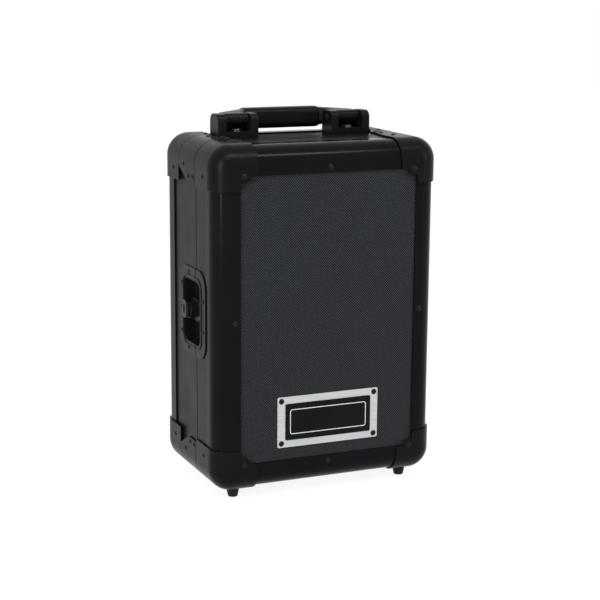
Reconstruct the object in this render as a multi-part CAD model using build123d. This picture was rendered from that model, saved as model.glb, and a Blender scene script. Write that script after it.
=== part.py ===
from build123d import *
import os

# Body of the case over its alloy frame, without corners, feet or handle
WIDTH = 230.0
DEPTH = 148.0
HEIGHT = 330.0
LID_DEPTH = 54.1
PARTING_GAP = 1.4

# Frame and boards
EDGE_RADIUS = 20.0
ALLOY = 1.5
BOARD = 6.5
SIDE_MARGIN = 24.2
END_MARGIN = 27.0
RETURN_FLANGE = 31.0
BOARD_SETBACK = 19.0
CORNER_BLOCK = 21.5
FRAME_JOINT = 0.2
LID_RAIL_FLANGE = 22.1
BASE_RAIL_FLANGE = 20.2
RAIL_WEB = 3.0
RAIL_INNER_LIP = 13.0
TONGUE_WIDTH = 1.8
TONGUE_HEIGHT = 2.4
TONGUE_SIDE_CLEARANCE = 0.5
TONGUE_TIP_CLEARANCE = 0.6

# Sheet steel corners
CORNER_SHEET = 1.8
CORNER_REACH = 41.0
REAR_CORNER_REACH = 33.4
CORNER_LOBE_AT = 27.0
CORNER_LOBE_RADIUS = 6.5
CORNER_TIP_RADIUS = 4.0
REAR_CORNER_LENGTH = 49.4
MIDDLE_PLATE_GAP = 0.6
MIDDLE_REACH = 38.0
MIDDLE_SHORT_REACH = 26.0

# Rivets
RIVET_SHANK = 1.6
RIVET_HEAD = 2.6
RIVET_DOME = 1.1
RIVET_BITE = 6.5
HOLE_CLEARANCE = 0.05
CORNER_RIVET_FROM_END = 30.0
CORNER_RIVET_FROM_FACE = 33.5
CORNER_RIVET_ON_END_FROM_FACE = 40.0
MIDDLE_RIVET_REACH = 33.5
MIDDLE_RIVET_FIRST = 5.5
MIDDLE_RIVET_SECOND = 16.5
MIDDLE_RIVET_THIRD = 30.0
MIDDLE_RIVET_THIRD_REACH = 23.5
FRAME_RIVET_INSET = 5.5

# Feet
FOOT_HEIGHT = 9.0
FOOT_TOP_RADIUS = 6.6
FOOT_BOTTOM_RADIUS = 4.6
FOOT_FROM_SIDE = 25.0
FOOT_FROM_FACE = 24.0
FOOT_SCREW_HEAD = 2.9
FOOT_SCREW_HEAD_HEIGHT = 2.0
FOOT_SCREW_SHANK = 1.5
FOOT_BORE_DEPTH = 5.0
FOOT_EDGE = 0.8

# Silver plate on the front
PLATE_WIDTH = 106.0
PLATE_HEIGHT = 50.0
PLATE_SHEET = 1.0
PLATE_CORNER = 1.5
PLATE_CENTRE_UP = 64.3
INSET_WIDTH = 90.0
INSET_HEIGHT = 36.0
INSET_SHEET = 0.5
PLATE_RIVET_INSET = 4.0
PLATE_RIVET_HEAD = 2.8
PLATE_RIVET_DOME = 1.2
PLATE_RIVET_SHANK = 1.0
PLATE_RIVET_BITE = 4.0

# Carrying handle on the top of the base
HANDLE_FROM_BACK = 52.0
PIVOT_ABOVE_TOP = 16.0
BRACKET_FROM_SIDE = 34.0
BRACKET_LENGTH = 41.7
BRACKET_WIDTH = 24.0
BRACKET_ROUND = 7.0
BRACKET_EDGE = 1.6
BRACKET_ABOVE_PIVOT = 6.0
INNER_CHEEK = 7.5
OUTER_CHEEK = 8.7
BRACKET_FLOOR = 5.0
BRACKET_LIP = 2.6
LIP_BELOW_BARREL = 1.0
BARREL_END_GAP = 0.3
PIN_RADIUS = 3.0
PIN_END_GAP = 3.0
GRIP_PAST_BRACKET = 4.7
GRIP_ARM_WIDTH = 10.5
GRIP_ARM_END_INSET = 1.0
GRIP_ARM_HEIGHT = 12.0
GRIP_ARM_GAP = 1.2
GRIP_ARM_ROUND = 2.5
GRIP_REACH = 29.5
GRIP_DEPTH = 19.0
GRIP_HEIGHT = 20.6
GRIP_DROP = 2.1
GRIP_ROUND = 6.5
BOLT_SHANK = 2.5
BOLT_HEAD = 4.0
BOLT_HEAD_HEIGHT = 2.4
BOLT_SPREAD = 5.0
NUT_RADIUS = 4.2
NUT_HEIGHT = 3.0
BACKING_PLATE = 1.5

# Butterfly latch in the left side
LATCH_UP = 166.0
LATCH_SHEET = 1.2
LATCH_LID_SIDE = 26.0
LATCH_BASE_SIDE = 45.0
LATCH_TALL = 86.0
LATCH_CORNER = 18.0
DISH_LID_SIDE = 12.0
DISH_BASE_SIDE = 32.0
DISH_TALL = 62.0
DISH_CORNER = 8.0
DISH_DEPTH = 10.0
DISH_CLEARANCE = 0.3
SPINDLE_FROM_PARTING = 18.6
HUB_RADIUS = 8.0
HUB_PROUD = 0.2
HUB_UNDER = 4.8
CAM_RADIUS = 5.0
CAM_THROW = 1.5
CAM_THICK = 2.6
CAM_DISC_RADIUS = 7.0
SPINDLE_SHAFT = 3.0
SPINDLE_HEAD = 5.0
SPINDLE_HEAD_THICK = 1.6
SPINDLE_GAP = 0.1
HOOK_CLEARANCE = 0.2
HOOK_HALF_WIDTH = 9.0
HOOK_YOKE_HALF_WIDTH = 11.0
HOOK_PAST_CAM = 8.4
HOOK_YOKE_FRONT = 10.5
HOOK_PAST_PARTING = 8.5
HOOK_LIP = 2.0
HOOK_LIP_DROP = 0.8
YOKE_CLEARANCE = 0.4
KEEPER_FROM_PARTING = 3.6
KEEPER_THICK = 2.0
KEEPER_GAP = 0.3
KEEPER_HALF_WIDTH = 10.0
WING_REACH = 13.0
WING_HALF_WIDTH = 9.0
WING_THICK = 2.0
WING_END_ROUND = 4.7
WING_KNUCKLE_HALF = 5.6
WING_KNUCKLE_RADIUS = 2.0
WING_WINDOW_LENGTH = 9.2
WING_WINDOW_WIDTH = 3.7
WING_PIN_RADIUS = 0.9
WING_EAR_GAP = 0.2
LATCH_RIVET_LIFT = 24.0
LATCH_RIVET_EDGE = 5.6
LATCH_RIVET_END_AT = 20.0
LATCH_RIVET_LID_LIFT = 15.0

# Hinges on the right side
HINGE_FROM_MIDDLE = 82.0
HINGE_TALL = 50.0
HINGE_LEAF = 19.5
HINGE_SHEET = 1.2
HINGE_KNUCKLE = 2.8
HINGE_PIN = 1.5
HINGE_KNUCKLE_GAP = 0.2
HINGE_MIDDLE_KNUCKLE = 17.6
HINGE_NOTCH_CLEARANCE = 0.3
HINGE_PIN_HEAD = 2.2
HINGE_PIN_HEAD_THICK = 1.0
HINGE_RIVET_LIFT = 16.0
HINGE_RIVET_FROM_AXIS = 12.5

# Foam
FOAM_CLEARANCE = 0.3
FOAM_WALL = 25.0
FOAM_FLOOR = 20.0
FOAM_POCKET_CORNER = 8.0
FINGER_RADIUS = 18.0
FINGER_DEPTH = 30.0
LID_PAD = 20.0
LID_PAD_EDGE = 4.0

LINING = ALLOY + BOARD + ALLOY
BODY_LIFT = FOOT_HEIGHT + CORNER_SHEET
FRONT = -DEPTH / 2
BACK = DEPTH / 2
RIGHT = WIDTH / 2
BOTTOM = BODY_LIFT
TOP = BODY_LIFT + HEIGHT
MIDDLE_Z = BODY_LIFT + HEIGHT / 2
PARTING = FRONT + LID_DEPTH
LID_END = LID_DEPTH - PARTING_GAP / 2
BASE_START = LID_DEPTH + PARTING_GAP / 2
HINGE_AXIS_X = RIGHT + CORNER_SHEET
PIVOT_Y = BACK - HANDLE_FROM_BACK
BRACKET_INNER = RIGHT - BRACKET_FROM_SIDE - BRACKET_LENGTH
GRIP_HALF_LENGTH = BRACKET_INNER + GRIP_PAST_BRACKET
PIVOT_Z = TOP + PIVOT_ABOVE_TOP
BOARD_TOP = TOP - ALLOY
LATCH_PLANE = Plane(origin=(-RIGHT, PARTING, BOTTOM + LATCH_UP), x_dir=(0, 1, 0), z_dir=(-1, 0, 0))
CORNER_NAMES = ("bottom_left", "bottom_right", "top_left", "top_right")


def span_box(x, y, z):
    """A box between two values on each axis."""
    size = [high - low for low, high in (x, y, z)]
    centre = [(high + low) / 2 for low, high in (x, y, z)]
    return Pos(*centre) * Box(*size)


def span_face(x, y):
    """A flat rectangle between two values on each axis."""
    size = [high - low for low, high in (x, y)]
    centre = [(high + low) / 2 for low, high in (x, y)]
    return Pos(*centre) * Rectangle(*size)


def mirror_x(shape):
    return mirror(shape, Plane.YZ)


def mirror_y(shape):
    return mirror(shape, Plane.XZ)


def mirror_z(shape):
    return mirror(shape, Plane.XY.offset(MIDDLE_Z))


def rod(start, direction, radius, length):
    """A cylinder that starts at a point and runs along a direction."""
    place = Plane(origin=start, z_dir=direction)
    return place * Pos(0, 0, length / 2) * Cylinder(radius, length)


def group(solids):
    """Several separate solids that share one node."""
    return Compound(children=[solid for shape in solids for solid in shape.solids()])


def corner_face(reach_x, reach_y, inset):
    """The rounded corner of the frame's section, set in from both outer planes."""
    outline = Polyline(
        (inset, EDGE_RADIUS), (inset, reach_y), (reach_x, reach_y), (reach_x, inset), (EDGE_RADIUS, inset)
    )
    arc = CenterArc((EDGE_RADIUS, EDGE_RADIUS), EDGE_RADIUS - inset, 180, 90)
    return make_face(outline + arc)


def edge_section(face_flange, side_flange):
    """Round edge extrusion: outer skin, inner angle, closed chamber and a slot for each board."""
    board_back = ALLOY + BOARD
    chamber_end = BOARD_SETBACK - ALLOY
    chamber = corner_face(CORNER_BLOCK, CORNER_BLOCK, ALLOY) & span_face((0, chamber_end), (0, chamber_end))
    chamber -= span_face((board_back, CORNER_BLOCK), (board_back, CORNER_BLOCK))
    section = corner_face(face_flange, side_flange, 0) - chamber
    section -= span_face((LINING, face_flange), (LINING, side_flange))
    section -= span_face((BOARD_SETBACK, face_flange), (ALLOY, board_back))
    section -= span_face((ALLOY, board_back), (BOARD_SETBACK, side_flange))
    return section


def run_section(section, origin, x_dir, z_dir, length):
    """A length of extrusion: its section is drawn from a corner line and pushed along z_dir."""
    place = Plane(origin=origin, x_dir=x_dir, z_dir=z_dir)
    return extrude(place * section, length)


def upright_frame_bar(section):
    """A bar up the left side, square to the corner blocks."""
    start = (-RIGHT, FRONT, BOTTOM + CORNER_BLOCK)
    return run_section(section, start, (1, 0, 0), (0, 0, 1), HEIGHT - 2 * CORNER_BLOCK)


def level_frame_bar(section):
    """A bar across the top, between the corner blocks, its flange cut to meet the side bars."""
    start = (-RIGHT + CORNER_BLOCK, FRONT, TOP)
    bar = run_section(section, start, (0, 0, -1), (1, 0, 0), WIDTH - 2 * CORNER_BLOCK)
    inner = RIGHT - SIDE_MARGIN - FRAME_JOINT
    for ends in ((-RIGHT, -inner), (inner, RIGHT)):
        bar -= span_box(ends, (FRONT - 1, FRONT + LINING), (TOP - END_MARGIN - 1, TOP - CORNER_BLOCK))
    return bar


def corner_post(start, end):
    """Round extrusion that joins the side and top boards along one corner, top left."""
    section = edge_section(CORNER_BLOCK, CORNER_BLOCK)
    origin = (-RIGHT, FRONT + start, TOP)
    return run_section(section, origin, (1, 0, 0), (0, 1, 0), end - start)


def four_corners(shape):
    """The same piece at the four corners seen from the front."""
    pair = [shape, mirror_x(shape)]
    return pair + [mirror_z(piece) for piece in pair]


def lid_rail_section():
    """Parting rail of the lid: outer flange, web with a groove, inner lip."""
    start = LID_END - LID_RAIL_FLANGE
    middle = LINING / 2
    groove = TONGUE_WIDTH / 2 + TONGUE_SIDE_CLEARANCE
    groove_floor = BASE_START - TONGUE_HEIGHT - TONGUE_TIP_CLEARANCE
    section = span_face((0, ALLOY), (start, LID_END))
    section += span_face((0, LINING), (LID_END - RAIL_WEB, LID_END))
    section += span_face((ALLOY + BOARD, LINING), (LID_END - RAIL_INNER_LIP, LID_END))
    return section - span_face((middle - groove, middle + groove), (groove_floor, LID_END))


def base_rail_section():
    """Parting rail of the base: outer flange, web with a tongue, inner lip."""
    middle = LINING / 2
    tongue = TONGUE_WIDTH / 2
    section = span_face((0, ALLOY), (BASE_START, BASE_START + BASE_RAIL_FLANGE))
    section += span_face((0, LINING), (BASE_START, BASE_START + RAIL_WEB))
    section += span_face((ALLOY + BOARD, LINING), (BASE_START, BASE_START + RAIL_INNER_LIP))
    return section + span_face((middle - tongue, middle + tongue), (BASE_START - TONGUE_HEIGHT, BASE_START))


def side_board(start, end):
    """Left side board of the lid or the base."""
    return span_box(
        (-RIGHT + ALLOY, -RIGHT + ALLOY + BOARD),
        (FRONT + start, FRONT + end),
        (BOTTOM + BOARD_SETBACK, TOP - BOARD_SETBACK),
    )


def end_board(start, end):
    """Top board of the lid or the base."""
    return span_box(
        (-RIGHT + BOARD_SETBACK, RIGHT - BOARD_SETBACK),
        (FRONT + start, FRONT + end),
        (TOP - ALLOY - BOARD, TOP - ALLOY),
    )


def face_board():
    """The large front panel, behind the flanges of the frame."""
    return span_box(
        (-RIGHT + BOARD_SETBACK, RIGHT - BOARD_SETBACK),
        (FRONT + ALLOY, FRONT + ALLOY + BOARD),
        (BOTTOM + BOARD_SETBACK, TOP - BOARD_SETBACK),
    )


def rounded_block(inset, reach):
    """A block with one corner at the origin, rounded there and along its three edges."""
    block = span_box((inset, reach[0]), (inset, reach[1]), (inset, reach[2]))
    lowest = Vector(inset, inset, inset)
    edges = [edge for edge in block.edges() if (edge.bounding_box().min - lowest).length < 0.01]
    return fillet(edges, EDGE_RADIUS - inset)


def corner_shell(across, length):
    """Sheet that wraps a case corner at the origin: across the end, back from the face, up the side."""
    outer = rounded_block(-CORNER_SHEET, (across, length, CORNER_REACH))
    inner = rounded_block(0, (across + 1, length + 1, CORNER_REACH + 1))
    return outer - inner


def corner_outline(across):
    """Front outline of a ball corner: two arms and a lobe round the rivet."""
    low = -CORNER_SHEET
    outline = span_face((low, SIDE_MARGIN), (low, CORNER_REACH))
    outline += span_face((low, across), (low, END_MARGIN))
    outline += Pos(CORNER_LOBE_AT, CORNER_LOBE_AT) * Circle(CORNER_LOBE_RADIUS)
    outline &= span_face((low, across), (low, CORNER_REACH))
    far_ends = [tip for tip in outline.vertices() if max(tip.X, tip.Y) > CORNER_REACH - 0.01]
    return fillet([tip for tip in far_ends if min(tip.X, tip.Y) > 0], CORNER_TIP_RADIUS)


def ball_corner(across, length):
    """Ball corner at the front bottom left of the case."""
    place = Plane(origin=(0, length, 0), x_dir=(1, 0, 0), z_dir=(0, -1, 0))
    prism = extrude(place * corner_outline(across), length + 2 * CORNER_SHEET)
    return Pos(-RIGHT, FRONT, BOTTOM) * (corner_shell(across, length) & prism)


def rounded_corner_bar(inset, reach, length):
    """A bar along Y with a rounded corner at the origin."""
    block = span_box((inset, reach), (0, length), (inset, reach))
    edges = block.edges().filter_by(Axis.Y).sort_by(lambda edge: edge.center().X + edge.center().Z)
    return fillet(edges[0], EDGE_RADIUS - inset)


def middle_plate():
    """Corner plate of the base beside the parting, bottom left."""
    end = DEPTH - REAR_CORNER_LENGTH - MIDDLE_PLATE_GAP
    length = end - BASE_START
    outer = rounded_corner_bar(-CORNER_SHEET, MIDDLE_REACH, length)
    sheet = outer - rounded_corner_bar(0, MIDDLE_REACH + 1, length)
    slope = length - BASE_RAIL_FLANGE
    low = -2 * CORNER_SHEET
    side = make_face(
        Polyline((0, low), (0, MIDDLE_REACH), (BASE_RAIL_FLANGE, MIDDLE_REACH), (length, MIDDLE_SHORT_REACH),
                 (length, low), (0, low))
    )
    depth = MIDDLE_REACH + 2 * CORNER_SHEET
    side_prism = extrude(Plane(origin=(low, 0, 0), x_dir=(0, 1, 0), z_dir=(1, 0, 0)) * side, depth)
    end_prism = extrude(Plane(origin=(0, 0, depth + low), x_dir=(0, 1, 0), z_dir=(0, 0, -1)) * side, depth)
    return Pos(-RIGHT, FRONT + BASE_START, BOTTOM) * (sheet & side_prism & end_prism)


def rivet(shank, head, dome, bite):
    """A dome headed rivet that stands at the origin, head up."""
    ball = (head**2 + dome**2) / (2 * dome)
    cap = Pos(0, 0, dome - ball) * Sphere(ball) & span_box((-head, head), (-head, head), (0, dome))
    return cap + rod((0, 0, 0), (0, 0, -1), shank, bite)


def place_rivets(pattern, sites):
    """Copies of a rivet, one at each site with its axis along the outward normal."""
    return [Plane(origin=point, z_dir=normal) * pattern for point, normal in sites]


def drill(shape, sites, radius, depth):
    """Holes for the rivets or screws of these sites, cut only where they meet the piece."""
    bounds = shape.bounding_box()
    for point, normal in sites:
        start = Vector(*point) + Vector(*normal) * CORNER_SHEET
        hole = rod(start, [-value for value in normal], radius, depth + CORNER_SHEET)
        reach = hole.bounding_box()
        apart = (
            reach.min.X > bounds.max.X or reach.max.X < bounds.min.X
            or reach.min.Y > bounds.max.Y or reach.max.Y < bounds.min.Y
            or reach.min.Z > bounds.max.Z or reach.max.Z < bounds.min.Z
        )
        if not apart:
            shape -= hole
    return shape


def mirrored_sites(sites, flip):
    """The same sites on the far side of a middle plane: flip gives the sign of each axis."""
    moved = []
    for point, normal in sites:
        height = point[2] if flip[2] > 0 else 2 * MIDDLE_Z - point[2]
        moved.append(
            ((point[0] * flip[0], point[1] * flip[1], height), tuple(n * f for n, f in zip(normal, flip)))
        )
    return moved


def four_corner_sites(sites):
    """Sites of the bottom left corner, repeated at the four corners seen from the front."""
    flips = [(1, 1, 1), (-1, 1, 1), (1, 1, -1), (-1, 1, -1)]
    return [site for flip in flips for site in mirrored_sites(sites, flip)]


def ball_corner_sites():
    """Rivets of the front bottom left ball corner: face, side and end."""
    end_rivet_x = -RIGHT + CORNER_RIVET_FROM_END
    return [
        ((-RIGHT + CORNER_LOBE_AT, FRONT - CORNER_SHEET, BOTTOM + CORNER_LOBE_AT), (0, -1, 0)),
        ((-RIGHT - CORNER_SHEET, FRONT + CORNER_RIVET_FROM_FACE, BOTTOM + CORNER_RIVET_FROM_END), (-1, 0, 0)),
        ((end_rivet_x, FRONT + CORNER_RIVET_ON_END_FROM_FACE, BOTTOM - CORNER_SHEET), (0, 0, -1)),
    ]


def middle_plate_sites():
    """Rivets of the bottom left middle plate: three on the side, three on the end."""
    spots = [
        (MIDDLE_RIVET_FIRST, MIDDLE_RIVET_REACH),
        (MIDDLE_RIVET_SECOND, MIDDLE_RIVET_REACH),
        (MIDDLE_RIVET_THIRD, MIDDLE_RIVET_THIRD_REACH),
    ]
    sites = []
    for along, reach in spots:
        y = FRONT + BASE_START + along
        sites.append(((-RIGHT - CORNER_SHEET, y, BOTTOM + reach), (-1, 0, 0)))
        sites.append(((-RIGHT + reach, y, BOTTOM - CORNER_SHEET), (0, 0, -1)))
    return sites


def frame_sites():
    """Rivets at the middle of each bar of the front frame."""
    across = RIGHT - SIDE_MARGIN + FRAME_RIVET_INSET
    up = HEIGHT / 2 - END_MARGIN + FRAME_RIVET_INSET
    normal = (0, -1, 0)
    return [
        ((-across, FRONT, MIDDLE_Z), normal),
        ((across, FRONT, MIDDLE_Z), normal),
        ((0, FRONT, MIDDLE_Z - up), normal),
        ((0, FRONT, MIDDLE_Z + up), normal),
    ]


def foot_sites():
    """Foot places on the front bottom corners."""
    y = FRONT + FOOT_FROM_FACE
    x = RIGHT - FOOT_FROM_SIDE
    return [((side * x, y, BOTTOM - CORNER_SHEET), (0, 0, -1)) for side in (-1, 1)]


def foot():
    """Tapered rubber foot hanging from the origin, bored for its screw."""
    cone = Pos(0, 0, -FOOT_HEIGHT / 2) * Cone(FOOT_BOTTOM_RADIUS, FOOT_TOP_RADIUS, FOOT_HEIGHT)
    cone = fillet(cone.edges().sort_by(Axis.Z)[0], FOOT_EDGE)
    cone -= rod((0, 0, 1), (0, 0, -1), FOOT_SCREW_SHANK + HOLE_CLEARANCE, FOOT_HEIGHT + 2)
    bore = FOOT_SCREW_HEAD + HOLE_CLEARANCE
    return cone - rod((0, 0, -FOOT_HEIGHT - 1), (0, 0, 1), bore, FOOT_BORE_DEPTH + 1)


def foot_screw():
    """Pan head screw seated in the bore of a foot, with its shank up into the board."""
    seat = -FOOT_HEIGHT + FOOT_BORE_DEPTH
    head = rod((0, 0, seat - FOOT_SCREW_HEAD_HEIGHT), (0, 0, 1), FOOT_SCREW_HEAD, FOOT_SCREW_HEAD_HEIGHT)
    shank = rod((0, 0, seat), (0, 0, 1), FOOT_SCREW_SHANK, -seat + RIVET_BITE)
    return head + shank


def name_plate():
    """Silver plate, its black inset and its four dark rivets, on the front panel."""
    surface = FRONT + ALLOY
    place = Plane(origin=(0, surface, BOTTOM + PLATE_CENTRE_UP), x_dir=(1, 0, 0), z_dir=(0, -1, 0))
    sheet = extrude(place * RectangleRounded(PLATE_WIDTH, PLATE_HEIGHT, PLATE_CORNER), PLATE_SHEET)
    sites = []
    for side in (-1, 1):
        for end in (-1, 1):
            x = side * (PLATE_WIDTH / 2 - PLATE_RIVET_INSET)
            z = BOTTOM + PLATE_CENTRE_UP + end * (PLATE_HEIGHT / 2 - PLATE_RIVET_INSET)
            sites.append(((x, surface - PLATE_SHEET, z), (0, -1, 0)))
    inset_outline = Pos(0, 0, PLATE_SHEET) * RectangleRounded(INSET_WIDTH, INSET_HEIGHT, PLATE_CORNER)
    inset = extrude(place * inset_outline, INSET_SHEET)
    return sheet, inset, sites


def handle_bracket():
    """Right bracket: floor, rear lip and two cheeks with pin holes, open for the grip's barrel."""
    inner = BRACKET_INNER
    outer = BRACKET_INNER + BRACKET_LENGTH
    top = PIVOT_Z + BRACKET_ABOVE_PIVOT
    half = BRACKET_WIDTH / 2
    block = span_box((inner, outer), (PIVOT_Y - half, PIVOT_Y + half), (BOARD_TOP, top))
    block = fillet(block.edges().filter_by(Axis.X).group_by(Axis.Z)[-1], BRACKET_ROUND)
    outer_edges = block.faces().sort_by(Axis.X)[-1].edges()
    block = fillet(outer_edges.filter_by(lambda edge: edge.center().Z > BOARD_TOP + 1), BRACKET_EDGE)
    window = span_box(
        (inner + INNER_CHEEK, outer - OUTER_CHEEK),
        (PIVOT_Y - half - 1, PIVOT_Y + half + 1),
        (TOP + BRACKET_FLOOR, top + 1),
    )
    lip = span_box(
        (inner + INNER_CHEEK, outer - OUTER_CHEEK),
        (PIVOT_Y + half - BRACKET_LIP, PIVOT_Y + half),
        (TOP + BRACKET_FLOOR, PIVOT_Z - GRIP_ARM_HEIGHT / 2 - LIP_BELOW_BARREL),
    )
    pin = rod((inner - 1, PIVOT_Y, PIVOT_Z), (1, 0, 0), PIN_RADIUS + HOLE_CLEARANCE, pin_length() + 1)
    return block - window - pin + lip


def pin_length():
    """From the inner face of the bracket to the blind end in the outer cheek."""
    return BRACKET_LENGTH - PIN_END_GAP


def barrel_span():
    """Where the grip's right barrel starts and ends between the cheeks."""
    start = BRACKET_INNER + INNER_CHEEK + BARREL_END_GAP
    return start, BRACKET_INNER + BRACKET_LENGTH - OUTER_CHEEK - BARREL_END_GAP


def handle_pin():
    """Pivot pin through the inner cheek and the barrel into the outer cheek, right bracket."""
    return rod((BRACKET_INNER, PIVOT_Y, PIVOT_Z), (1, 0, 0), PIN_RADIUS, pin_length() - PIN_END_GAP)


def arm_section(along, low, high, height, drop=0.0):
    """Rounded section of an arm in the plane square to Y."""
    middle = ((low + high) / 2, PIVOT_Y + along, PIVOT_Z - drop)
    place = Plane(origin=middle, x_dir=(1, 0, 0), z_dir=(0, 1, 0))
    return place * RectangleRounded(high - low, height, GRIP_ARM_ROUND)


def grip_arm():
    """Right arm of the grip: a barrel on the pin that narrows back to the end of the bar."""
    low, high = barrel_span()
    behind = BRACKET_WIDTH / 2 + GRIP_ARM_GAP
    bar_end = GRIP_HALF_LENGTH - GRIP_ARM_END_INSET
    near = arm_section(behind, low, high, GRIP_ARM_HEIGHT)
    far_height = GRIP_HEIGHT - 2 * GRIP_ARM_END_INSET
    far = arm_section(GRIP_REACH, bar_end - GRIP_ARM_WIDTH, bar_end, far_height, GRIP_DROP)
    root = extrude(arm_section(0, low, high, GRIP_ARM_HEIGHT), behind)
    barrel = rod((low, PIVOT_Y, PIVOT_Z), (1, 0, 0), GRIP_ARM_HEIGHT / 2, high - low)
    return barrel + root + loft([near, far])


def handle_grip():
    """Moulded grip folded back behind the brackets: a bar on two arms."""
    middle = Pos(0, PIVOT_Y + GRIP_REACH, PIVOT_Z - GRIP_DROP)
    bar = middle * Box(2 * GRIP_HALF_LENGTH, GRIP_DEPTH, GRIP_HEIGHT)
    grip = fillet(bar.edges(), GRIP_ROUND) + grip_arm() + mirror_x(grip_arm())
    outer = barrel_span()[1]
    return grip - rod((-outer - 1, PIVOT_Y, PIVOT_Z), (1, 0, 0), PIN_RADIUS + HOLE_CLEARANCE, 2 * outer + 2)


def bolt_places():
    """Two bolts in the floor of the right bracket, each side of the barrel."""
    x = BRACKET_INNER + INNER_CHEEK + (BRACKET_LENGTH - INNER_CHEEK - OUTER_CHEEK) / 2
    return [(x, PIVOT_Y - BOLT_SPREAD), (x, PIVOT_Y + BOLT_SPREAD)]


def handle_bolt(x, y):
    """Round headed bolt through bracket, board and backing plate."""
    floor = TOP + BRACKET_FLOOR
    inside = TOP - ALLOY - BOARD - BACKING_PLATE - NUT_HEIGHT
    head = rod((x, y, floor), (0, 0, 1), BOLT_HEAD, BOLT_HEAD_HEIGHT)
    head = fillet(head.edges().sort_by(Axis.Z)[-1], BOLT_HEAD_HEIGHT / 2)
    return head + rod((x, y, inside), (0, 0, 1), BOLT_SHANK, floor - inside)


def handle_nut(x, y):
    """Hexagon nut under the backing plate."""
    inside = TOP - ALLOY - BOARD - BACKING_PLATE - NUT_HEIGHT
    nut = extrude(Pos(x, y, inside) * RegularPolygon(NUT_RADIUS, 6), NUT_HEIGHT)
    return nut - rod((x, y, inside - 1), (0, 0, 1), BOLT_SHANK + HOLE_CLEARANCE, NUT_HEIGHT + 2)


def backing_plate():
    """Steel strip inside the top board under the right bracket."""
    x = bolt_places()[0][0]
    spread = BOLT_SPREAD + NUT_RADIUS + 2
    top = TOP - ALLOY - BOARD
    along = (PIVOT_Y - spread, PIVOT_Y + spread)
    return span_box((x - spread, x + spread), along, (top - BACKING_PLATE, top))


def drill_bolts(shape):
    """Clearance holes for the handle bolts on both sides."""
    low = TOP - LINING - BACKING_PLATE - NUT_HEIGHT
    length = TOP + BRACKET_FLOOR + 1 - low
    for x, y in bolt_places():
        for side in (-1, 1):
            shape -= rod((side * x, y, low), (0, 0, 1), BOLT_SHANK + HOLE_CLEARANCE, length)
    return shape


def latch_outline(extra):
    """Outline of the dish recess, grown by a wall or a clearance; u runs back from the parting."""
    width = DISH_LID_SIDE + DISH_BASE_SIDE + 2 * extra
    centre = (DISH_BASE_SIDE - DISH_LID_SIDE) / 2
    return Pos(centre, 0) * RectangleRounded(width, DISH_TALL + 2 * extra, DISH_CORNER + extra)


def latch_pressing():
    """Flange and dish of the latch in one sheet, before it is cut at the parting."""
    width = LATCH_LID_SIDE + LATCH_BASE_SIDE
    centre = (LATCH_BASE_SIDE - LATCH_LID_SIDE) / 2
    flange_outline = Pos(centre, 0) * RectangleRounded(width, LATCH_TALL, LATCH_CORNER)
    flange = extrude(flange_outline, LATCH_SHEET)
    board_start = BASE_START + BASE_RAIL_FLANGE - LID_DEPTH
    step = flange_outline & span_face((board_start, LATCH_BASE_SIDE), (-LATCH_TALL, LATCH_TALL))
    flange += extrude(step, -ALLOY)
    shell = flange + extrude(latch_outline(LATCH_SHEET), -(DISH_DEPTH + LATCH_SHEET))
    return shell - Pos(0, 0, -DISH_DEPTH) * extrude(latch_outline(0), DISH_DEPTH + 2 * LATCH_SHEET)


def latch_halves():
    """The lid half with its keeper ridge and the base half with its spindle hole."""
    pressing = latch_pressing()
    half_gap = PARTING_GAP / 2
    depth = (-DISH_DEPTH - 2 * LATCH_SHEET, 2 * LATCH_SHEET)
    lid = pressing & span_box((-LATCH_LID_SIDE - 1, -half_gap), (-LATCH_TALL, LATCH_TALL), depth)
    base = pressing & span_box((half_gap, LATCH_BASE_SIDE + 1), (-LATCH_TALL, LATCH_TALL), depth)
    ridge_top = -(HUB_UNDER + CAM_THICK - HOOK_CLEARANCE) - HOOK_LIP_DROP - KEEPER_GAP
    lid += span_box(
        (-KEEPER_FROM_PARTING - KEEPER_THICK, -KEEPER_FROM_PARTING),
        (-KEEPER_HALF_WIDTH, KEEPER_HALF_WIDTH),
        (-DISH_DEPTH, ridge_top),
    )
    under = (SPINDLE_FROM_PARTING, 0, -DISH_DEPTH - 2 * LATCH_SHEET)
    return lid, base - rod(under, (0, 0, 1), SPINDLE_SHAFT + HOLE_CLEARANCE, DISH_DEPTH)


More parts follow.
